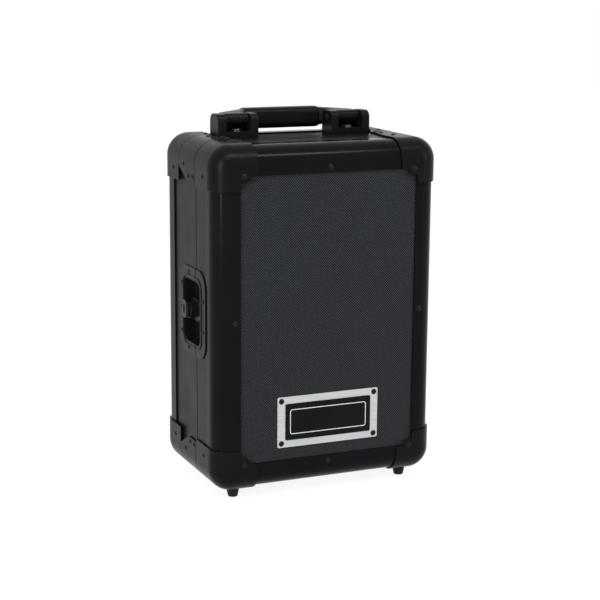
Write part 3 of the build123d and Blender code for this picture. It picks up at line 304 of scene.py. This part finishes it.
def panel_material(colours, sizes):
    """Black laminate with a close pattern of raised dots in staggered rows, the dots painted lighter as a
    highlight.
    """
    nodes = new_material("dotted_laminate")
    split = nodes.add("ShaderNodeSeparateXYZ", Vector=nodes.coords()).outputs
    turns = 2 * math.pi / sizes.dimple_pitch
    across = nodes.calculate("MULTIPLY", nodes.calculate("ADD", split["X"], split["Y"]), turns)
    along = nodes.calculate("MULTIPLY", nodes.calculate("ADD", split["Z"], split["Y"]), turns)
    waves = [nodes.calculate("COSINE", angle) for angle in (across, along)]
    dots = nodes.span(nodes.calculate("MULTIPLY", *waves), DOT_BAND, WHOLE)
    ground = worn_colour(nodes, colours.board, spread=0.12, scale=9.0)
    # Painted highlight: the raised dots take a lighter colour than the black ground.
    base = nodes.mix(dots, ground, shade(colours.dot_highlight))
    roughness = uneven_roughness(nodes, (0.40, 0.54), scale=60.0)
    relief = nodes.bump(dots, sizes.dimple_depth, strength=0.6)
    normal = fine_grain(nodes, scale=900.0, depth=0.02 * MM, normal=relief)
    return nodes.surface(base, roughness, normal, specular=0.06)


def coated_material(name, base, limits, specular, grain_scale=700.0, grain_depth=0.02 * MM):
    """A satin black coat: faint tone changes, fine grain and uneven gloss."""
    nodes = new_material(name)
    tone = worn_colour(nodes, base, spread=0.16, scale=14.0)
    roughness = uneven_roughness(nodes, limits, scale=34.0, detail=4.0)
    normal = fine_grain(nodes, grain_scale, grain_depth)
    return nodes.surface(tone, roughness, normal, specular)


def brushed_material(name, base, stretch, metallic, limits):
    """Metal or print with a fine grain, which a stretch draws out into lines."""
    nodes = new_material(name)
    lines = nodes.noise(scale=420.0, detail=2.0, stretch=stretch)
    tone = nodes.mix(nodes.span(lines, NOISE_BAND, WHOLE), shade(base, 0.92), shade(base, 1.06))
    roughness = nodes.span(lines, NOISE_BAND, limits)
    normal = nodes.bump(lines, 0.01 * MM, strength=0.4)
    return nodes.surface(tone, roughness, normal, specular=0.5, metallic=metallic)


def foam_material(colours):
    """Open cell foam: small pits with painted shade in them, lighter cell rims, and a matt, slightly uneven
    tone.
    """
    nodes = new_material("cut_foam")
    cells = nodes.add("ShaderNodeTexVoronoi", Vector=nodes.coords(), Scale=620.0).outputs["Distance"]
    pits = nodes.span(cells, PIT_BAND, WHOLE)
    tone = worn_colour(nodes, colours.foam, spread=0.2, scale=22.0)
    # Painted shade: the pits stay darker and the raised cell rims lighter, following the relief.
    base = nodes.mix(nodes.span(pits, WHOLE, HALF), tone, shade(colours.foam, 1.7))
    normal = nodes.bump(pits, 0.35 * MM, strength=0.8)
    return nodes.surface(base, 0.95, normal, specular=0.12)


def rubber_material(colours):
    """Matt black rubber with a faint mould grain."""
    nodes = new_material("foot_rubber")
    tone = worn_colour(nodes, colours.rubber, spread=0.2, scale=40.0)
    roughness = uneven_roughness(nodes, (0.62, 0.80), scale=90.0)
    normal = fine_grain(nodes, scale=1200.0, depth=0.03 * MM)
    return nodes.surface(tone, roughness, normal, specular=0.2)


def dress(names, material):
    """Gives CAD nodes a finish through their material slots."""
    for name in names:
        for material_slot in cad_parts[name].material_slots:
            material_slot.material = material


def clear_selection():
    """Object mode, with nothing selected."""
    if bpy.context.object and bpy.context.object.mode != "OBJECT":
        bpy.ops.object.mode_set(mode="OBJECT")
    bpy.ops.object.select_all(action="DESELECT")


def select_only(piece):
    """Object mode, with one piece selected and active."""
    clear_selection()
    piece.select_set(True)
    bpy.context.view_layer.objects.active = piece


def select_whole(kind):
    """Selects all vertices or faces of the piece that is being edited."""
    bpy.ops.mesh.select_mode(type=kind)
    bpy.ops.mesh.select_all(action="SELECT")


def edit_whole(piece, kind="VERT"):
    """Edit mode on one piece, with all of it selected."""
    select_only(piece)
    bpy.ops.object.mode_set(mode="EDIT")
    select_whole(kind)


def stop_editing():
    """Back to object mode."""
    bpy.ops.object.mode_set(mode="OBJECT")


def settle(piece):
    """Puts the piece's place, turn and size into its mesh."""
    select_only(piece)
    bpy.ops.object.transform_apply(location=True, rotation=True, scale=True)


def apply_modifier(piece, kind, **settings):
    """Adds a modifier, sets it and applies it."""
    select_only(piece)
    modifier = piece.modifiers.new(kind.lower(), kind)
    for key, value in settings.items():
        setattr(modifier, key, value)
    bpy.ops.object.modifier_apply(modifier=modifier.name)


def tidy_normals(piece):
    """Merges doubles and turns the faces outwards."""
    edit_whole(piece)
    bpy.ops.mesh.remove_doubles(threshold=MERGE_REACH)
    bpy.ops.mesh.normals_make_consistent(inside=False)
    stop_editing()


def smooth(piece, angle):
    """Smooth shading where faces meet at less than an angle in degrees."""
    select_only(piece)
    bpy.ops.object.shade_smooth_by_angle(angle=math.radians(angle))


def finish_piece(piece, material, body):
    """Finish, carrying body and material slot of a new piece."""
    piece.data.materials.clear()
    piece.data.materials.append(material)
    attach(piece, body)


def copy_of_node(node, name):
    """A copy of a CAD node with a mesh of its own, merged."""
    piece = bpy.data.objects.new(name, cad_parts[node].data.copy())
    bpy.context.scene.collection.objects.link(piece)
    tidy_normals(piece)
    return piece


def pull_inside(piece, node, inset):
    """Draws a piece in from the box of the node that it stands for."""
    low, high = (Vector(corner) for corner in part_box(node))
    middle = (low + high) / 2
    size = high - low
    for vertex in piece.data.vertices:
        for axis in range(3):
            factor = 1 - 2 * inset / size[axis]
            vertex.co[axis] = middle[axis] + (vertex.co[axis] - middle[axis]) * factor


class BoardsAndFrame(bpy.types.Operator):
    """Finish the boards, the frame and the corners"""

    bl_idname = "flight_case.boards_and_frame"
    bl_label = "Boards and frame"

    def execute(self, context):
        colours = context.scene.case_colours
        dress(PANELS, panel_material(colours, context.scene.case_sizes))
        dress(SIDE_BOARDS, coated_material(
            "side_laminate", colours.board, (0.30, 0.40), specular=0.05,
            grain_scale=260.0, grain_depth=0.03 * MM))
        dress(EDGES, coated_material("frame_coat", colours.frame_black, (0.12, 0.18), specular=0.05))
        dress(RAILS, coated_material("rail_coat", colours.frame_black, (0.24, 0.34), specular=0.05))
        dress(CORNER_PIECES, coated_material(
            "corner_coat", colours.corner_black, (0.24, 0.34), specular=0.055,
            grain_scale=420.0, grain_depth=0.04 * MM))
        return {"FINISHED"}


class Fittings(bpy.types.Operator):
    """Finish the rivets, latch, hinges, handle, feet and plate"""

    bl_idname = "flight_case.fittings"
    bl_label = "Fittings"

    def execute(self, context):
        colours = context.scene.case_colours
        dress(RIVETS, coated_material("rivet_coat", colours.rivet, (0.24, 0.34), specular=0.10))
        dress(LATCH_SHEETS + HINGE_LEAVES, coated_material(
            "fitting_coat", colours.fitting, (0.26, 0.36), specular=0.06))
        dress(LATCH_WORKS, coated_material("latch_coat", colours.fitting, (0.22, 0.30), specular=0.09))
        dress(MOULDINGS, coated_material(
            "moulded_plastic", colours.plastic, (0.26, 0.36), specular=0.06,
            grain_scale=520.0, grain_depth=0.05 * MM))
        dress(STEEL, brushed_material(
            "blackened_steel", colours.steel, stretch=(1, 1, 0.1), metallic=0.8, limits=(0.32, 0.46)))
        dress(["name_plate"], brushed_material(
            "silver_satin", colours.silver, stretch=(0.06, 1, 1), metallic=0.25, limits=(0.40, 0.52)))
        dress(["name_plate_inset"], coated_material(
            "plate_window", colours.window, (0.20, 0.28), specular=0.05))
        dress(FEET, rubber_material(colours))
        return {"FINISHED"}


class PlateOutline(bpy.types.Operator):
    """Add the thin outline printed on the plate's window"""

    bl_idname = "flight_case.plate_outline"
    bl_label = "Plate outline"

    def execute(self, context):
        sizes = context.scene.case_sizes
        low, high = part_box("name_plate_inset")
        centre = ((low[0] + high[0]) / 2, low[1], (low[2] + high[2]) / 2)
        clear_selection()
        bpy.ops.mesh.primitive_plane_add(size=1, location=centre, rotation=(math.pi / 2, 0, 0))
        ring = context.object
        ring.name = "plate_outline"
        ring.scale = (sizes.outline_across, sizes.outline_up, 1)
        settle(ring)
        edit_whole(ring)
        bpy.ops.mesh.bevel(offset=sizes.outline_corner, segments=OUTLINE_CORNER_STEPS, affect="VERTICES")
        select_whole("FACE")
        bpy.ops.mesh.inset(thickness=sizes.outline_width)
        bpy.ops.mesh.delete(type="FACE")
        stop_editing()
        tidy_normals(ring)
        apply_modifier(ring, "SOLIDIFY", thickness=2 * sizes.outline_height, offset=0.0)
        tidy_normals(ring)
        line = brushed_material("printed_line", context.scene.case_colours.outline,
                                stretch=(1, 1, 1), metallic=0.0, limits=(0.45, 0.60))
        finish_piece(ring, line, "lid")
        return {"FINISHED"}


class LatchBead(bpy.types.Operator):
    """Add the raised bead round the latch's dish, one half on the lid and one on the base"""

    bl_idname = "flight_case.latch_bead"
    bl_label = "Latch bead"

    def execute(self, context):
        sizes = context.scene.case_sizes
        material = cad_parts["latch_dish"].material_slots[0].material
        low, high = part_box("latch_dish")
        keeper_low, keeper_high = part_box("latch_keeper")
        across = high[1] - keeper_low[1] - 2 * sizes.bead_side
        up = high[2] - low[2] - 2 * sizes.bead_end
        middle = (high[1] + keeper_low[1]) / 2
        centre = (low[0], middle - sizes.bead_shift, (high[2] + low[2]) / 2)
        for half, seam, keep_front in (("lid", keeper_high[1], True), ("base", low[1], False)):
            clear_selection()
            bpy.ops.mesh.primitive_plane_add(size=1, location=centre, rotation=(math.pi / 2, 0, math.pi / 2))
            bead = context.object
            bead.name = half + "_latch_bead"
            bead.scale = (across, up, 1)
            settle(bead)
            self.round_path(bead, sizes.bead_corner)
            self.thicken(bead, sizes.bead_radius)
            self.cut_at(bead, seam, keep_front)
            tidy_normals(bead)
            smooth(bead, angle=35.0)
            finish_piece(bead, material, half)
        return {"FINISHED"}

    def round_path(self, bead, radius):
        """Rounds the path's corners and leaves only its edges."""
        edit_whole(bead)
        bpy.ops.mesh.bevel(offset=radius, segments=BEAD_CORNER_STEPS, affect="VERTICES")
        select_whole("FACE")
        bpy.ops.mesh.delete(type="ONLY_FACE")
        stop_editing()

    def thicken(self, bead, radius):
        """Turns the path into a round bead."""
        select_only(bead)
        bpy.ops.object.convert(target="CURVE")
        bead.data.bevel_depth = radius
        bead.data.bevel_resolution = BEAD_ROUND_STEPS
        bpy.ops.object.convert(target="MESH")

    def cut_at(self, bead, seam, keep_front):
        """Keeps the part on one side of the seam and closes its ends."""
        edit_whole(bead)
        bpy.ops.mesh.bisect(plane_co=(0, seam, 0), plane_no=(0, 1, 0), use_fill=True,
                            clear_inner=not keep_front, clear_outer=keep_front)
        stop_editing()


class LidFoam(bpy.types.Operator):
    """Add the waved foam of the lid in place of its plain block"""

    bl_idname = "flight_case.lid_foam"
    bl_label = "Lid foam"

    def execute(self, context):
        sizes = context.scene.case_sizes
        inset = Vector((sizes.foam_inset,) * 3)
        low, high = (Vector(corner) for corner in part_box("lid_foam"))
        low += inset
        high -= inset
        size = high - low
        centre = ((low.x + high.x) / 2, low.y, (low.z + high.z) / 2)
        waves = [max(LEAST_WAVES, round(side / sizes.wave_pitch)) for side in (size.x, size.z)]
        clear_selection()
        bpy.ops.mesh.primitive_grid_add(
            x_subdivisions=waves[0] * FACES_PER_WAVE, y_subdivisions=waves[1] * FACES_PER_WAVE,
            size=1, location=centre, rotation=(-math.pi / 2, 0, 0))
        foam = context.object
        foam.name = "lid_foam_waves"
        foam.scale = (size.x, size.z, 1)
        settle(foam)
        edit_whole(foam, "FACE")
        bpy.ops.mesh.extrude_region_move(TRANSFORM_OT_translate={"value": (0, size.y, 0)})
        stop_editing()
        self.raise_waves(foam, low, high, waves, sizes)
        tidy_normals(foam)
        smooth(foam, angle=50.0)
        finish_piece(foam, foam_material(context.scene.case_colours), "lid")
        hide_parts("lid_foam")
        return {"FINISHED"}

    def raise_waves(self, foam, low, high, waves, sizes):
        """Peaks and hollows on the inner face, level along its border."""
        size = high - low
        depth = sizes.wave_depth
        for vertex in foam.data.vertices:
            if vertex.co.y < high.y - FACE_REACH:
                continue
            across = (vertex.co.x - low.x) / size.x * waves[0]
            up = (vertex.co.z - low.z) / size.z * waves[1]
            # The wave is 0 in a hollow and 1 on a peak, the blend 0 on the rim and 1 inside the border
            wave = 0.5 - 0.25 * (math.cos(2 * math.pi * across) + math.cos(2 * math.pi * up))
            edge = min(across, waves[0] - across, up, waves[1] - up)
            blend = min(1.0, edge / sizes.wave_border)
            vertex.co.y = high.y - depth * (1 - wave) * blend - depth * BORDER_DROP * (1 - blend)


class BaseFoam(bpy.types.Operator):
    """Add the soft edged foam of the base in place of its plain block"""

    bl_idname = "flight_case.base_foam"
    bl_label = "Base foam"

    def execute(self, context):
        sizes = context.scene.case_sizes
        foam = copy_of_node("base_foam", "base_foam_block")
        apply_modifier(foam, "REMESH", mode="VOXEL", voxel_size=sizes.foam_voxel)
        apply_modifier(foam, "SMOOTH", factor=EASE_FACTOR, iterations=EASE_PASSES)
        pull_inside(foam, "base_foam", sizes.foam_inset)
        smooth(foam, angle=60.0)
        finish_piece(foam, foam_material(context.scene.case_colours), "base")
        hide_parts("base_foam")
        return {"FINISHED"}


def seen_white(nodes):
    """A factor that is 1 for rays from the camera, mirrors and clear pieces."""
    rays = nodes.add("ShaderNodeLightPath").outputs
    camera_or_mirror = nodes.calculate("MAXIMUM", rays["Is Camera Ray"], rays["Is Glossy Ray"])
    return nodes.calculate("MAXIMUM", camera_or_mirror, rays["Is Transmission Ray"])


def make_world(ambient):
    """White where it is seen, a softer level where it lights."""
    world = bpy.data.worlds.new("studio_world")
    bpy.context.scene.world = world
    nodes = Nodes(world)
    level = nodes.span(seen_white(nodes), WHOLE, (ambient, 1.0))
    nodes.close(nodes.add("ShaderNodeBackground", Color=WHITE, Strength=level), "ShaderNodeOutputWorld")


def floor_material(glow, shadow):
    """White floor, seen as an even white with a part of its own shading."""
    nodes = new_material("studio_floor")
    seen = seen_white(nodes)
    level = nodes.span(seen, WHOLE, (FLOOR_TONE, FLOOR_TONE * shadow))
    tint = nodes.add("ShaderNodeCombineColor", Red=level, Green=level, Blue=level).outputs["Color"]
    shading = nodes.add("ShaderNodeBsdfDiffuse", Color=tint)
    strength = nodes.calculate("MULTIPLY", seen, glow)
    white = nodes.add("ShaderNodeEmission", Color=WHITE, Strength=strength)
    both = nodes.add("ShaderNodeAddShader")
    for socket, shader in zip(both.inputs, (shading, white)):
        nodes.feed(socket, shader.outputs[0])
    return nodes.close(both, "ShaderNodeOutputMaterial")


def add_lamp(name, place, size, watts):
    """A long soft lamp turned to the case; its size is width and height."""
    clear_selection()
    bpy.ops.object.light_add(type="AREA", location=place)
    lamp = bpy.context.object
    lamp.name = name
    lamp.data.shape = "RECTANGLE"
    lamp.data.size, lamp.data.size_y = size
    lamp.data.energy = watts
    lamp.rotation_euler = (LAMP_AIM - Vector(place)).to_track_quat("-Z", "Y").to_euler()


def add_camera():
    """The camera at the photograph's viewpoint."""
    turn, drop, roll = CAMERA_TURN, CAMERA_DROP, CAMERA_ROLL
    ahead = Vector((math.sin(turn) * math.cos(drop), math.cos(turn) * math.cos(drop), -math.sin(drop)))
    right = Vector((math.cos(turn), -math.sin(turn), 0))
    up = Vector((math.sin(turn) * math.sin(drop), math.cos(turn) * math.sin(drop), math.cos(drop)))
    rolled_right = right * math.cos(roll) + up * math.sin(roll)
    rolled_up = up * math.cos(roll) - right * math.sin(roll)
    place = CAMERA_AIM - ahead * CAMERA_DISTANCE
    clear_selection()
    bpy.ops.object.camera_add()
    camera = bpy.context.object
    camera.name = "photo_camera"
    axes = Matrix((rolled_right, rolled_up, -ahead)).transposed().to_4x4()
    camera.matrix_world = Matrix.Translation(place) @ axes
    camera.data.lens = CAMERA_LENS
    camera.data.sensor_width = CAMERA_SENSOR
    bpy.context.scene.camera = camera


class Stage(bpy.types.Operator):
    """Add the floor, the world, the lamps and the camera"""

    bl_idname = "flight_case.stage"
    bl_label = "Stage"

    def execute(self, context):
        levels = context.scene.case_stage
        clear_selection()
        bpy.ops.mesh.primitive_plane_add(size=FLOOR_SIZE, location=(0, 0, -FLOOR_DROP))
        floor = context.object
        floor.name = "studio_floor"
        settle(floor)
        floor.data.materials.append(floor_material(levels.floor_glow, levels.shadow))
        make_world(levels.ambient)
        for name, (place, size) in LAMPS.items():
            add_lamp(name + "_lamp", place, size, getattr(levels, name + "_power"))
        add_camera()
        context.scene.view_settings.view_transform = "Standard"
        return {"FINISHED"}


GROUPS = {"case_colours": CaseColours, "case_sizes": CaseSizes, "case_stage": CaseStage}
MAKERS = (BoardsAndFrame, Fittings, PlateOutline, LatchBead, LidFoam, BaseFoam, Stage)


class CasePanel(bpy.types.Panel):
    """Buttons that dress the case, one by one"""

    bl_idname = "VIEW3D_PT_flight_case"
    bl_label = "Flight Case"
    bl_space_type = "VIEW_3D"
    bl_region_type = "UI"
    bl_category = "Flight Case"

    def draw(self, context):
        for maker in MAKERS:
            self.layout.operator(maker.bl_idname)


CLASSES = (*GROUPS.values(), *MAKERS, CasePanel)


def register():
    """Makes the add-on's classes and its sizes and colours known to Blender."""
    for kind in CLASSES:
        bpy.utils.register_class(kind)
    for name, group in GROUPS.items():
        setattr(bpy.types.Scene, name, bpy.props.PointerProperty(type=group))


def unregister():
    """Takes out what register put in, in reverse."""
    for name in GROUPS:
        delattr(bpy.types.Scene, name)
    for kind in reversed(CLASSES):
        bpy.utils.unregister_class(kind)


def main():
    """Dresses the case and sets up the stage."""
    register()
    bpy.ops.flight_case.boards_and_frame()
    bpy.ops.flight_case.fittings()
    bpy.ops.flight_case.plate_outline()
    bpy.ops.flight_case.latch_bead()
    bpy.ops.flight_case.lid_foam()
    bpy.ops.flight_case.base_foam()
    bpy.ops.flight_case.stage()


if __name__ == "__main__":
    main()
